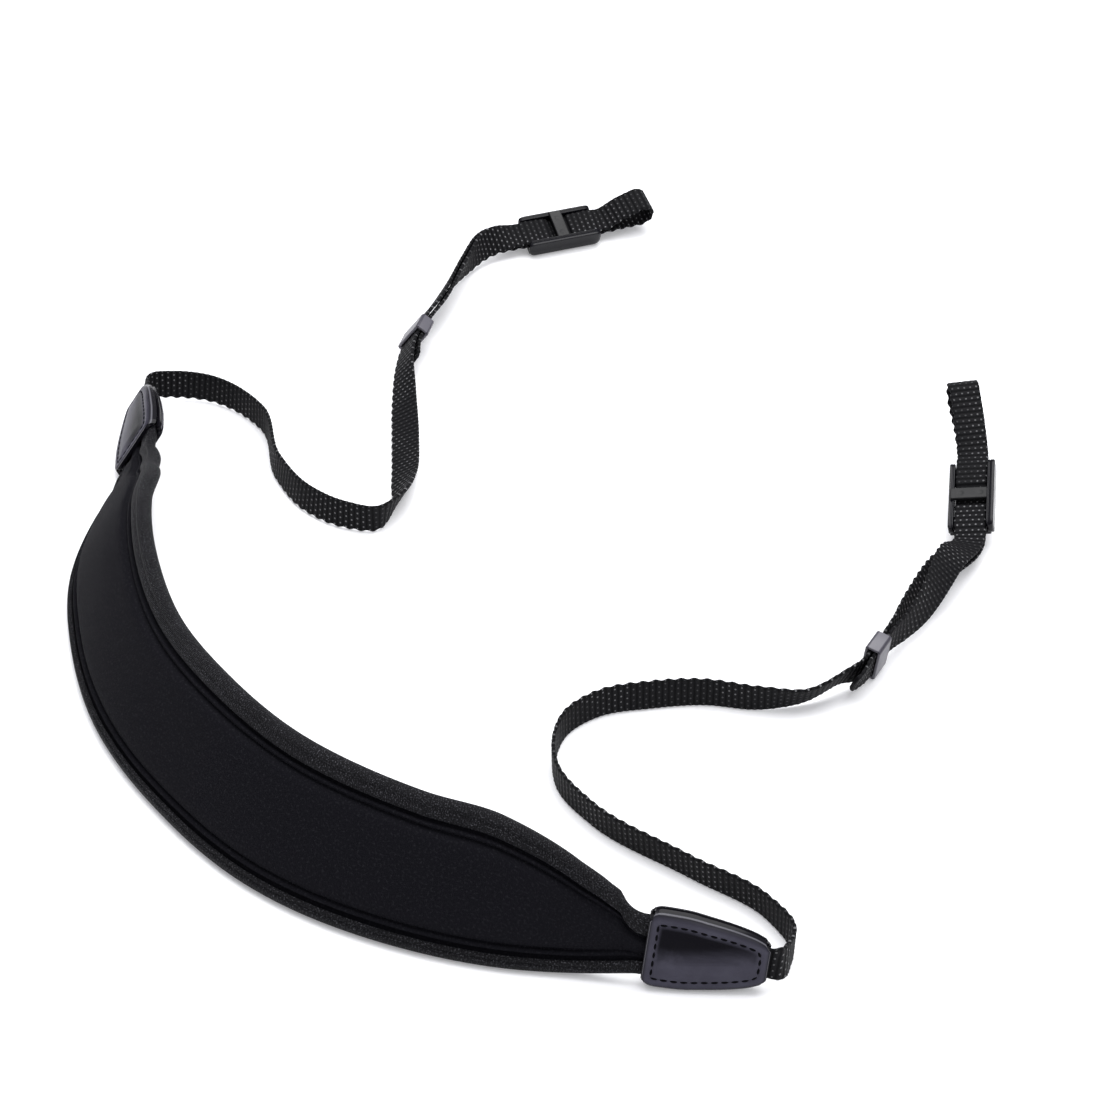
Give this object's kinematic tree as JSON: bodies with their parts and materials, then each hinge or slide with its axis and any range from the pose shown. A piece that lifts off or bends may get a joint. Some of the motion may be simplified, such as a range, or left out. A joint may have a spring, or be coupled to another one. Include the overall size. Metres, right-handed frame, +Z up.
{
  "type": "camera neck strap",
  "caption": "Camera neck strap lying open: padded neoprene neck piece with bound edges, leather end tabs, narrow patterned webbing, keepers and ladder buckles.",
  "frame": {"origin": "middle of the strap's bounding box in plan, at the table it lies on", "axes": "+X to the right and +Y away from the viewer as the strap lies with its neck pad at the left and front; +Z up"},
  "size_m": [0.3189, 0.4458, 0.0457],
  "materials": {
    "neoprene": "smooth matt knit face over foam",
    "binding_tape": "fine ribbed knit tape, matt with a soft sheen",
    "tab_leather": "semi-gloss coated leather, stitched 4 mm inside the edge",
    "webbing_nylon": "jacquard-woven webbing, black with small pale dots and a scalloped edge",
    "keeper_plastic": "satin moulded plastic",
    "buckle_plastic": "moulded plastic, glossy rails and a satin middle bar"
  },
  "bodies": {
    "root": {"neck_pad": "neoprene", "binding_upper": "binding_tape", "binding_lower": "binding_tape", "tab_front_left": "tab_leather", "tab_back_left": "tab_leather", "tab_front_right": "tab_leather", "tab_back_right": "tab_leather", "webbing_left": "webbing_nylon", "webbing_right": "webbing_nylon", "keeper_left": "keeper_plastic", "keeper_right": "keeper_plastic", "buckle_left": "buckle_plastic", "buckle_right": "buckle_plastic"}
  },
  "joints": []
}
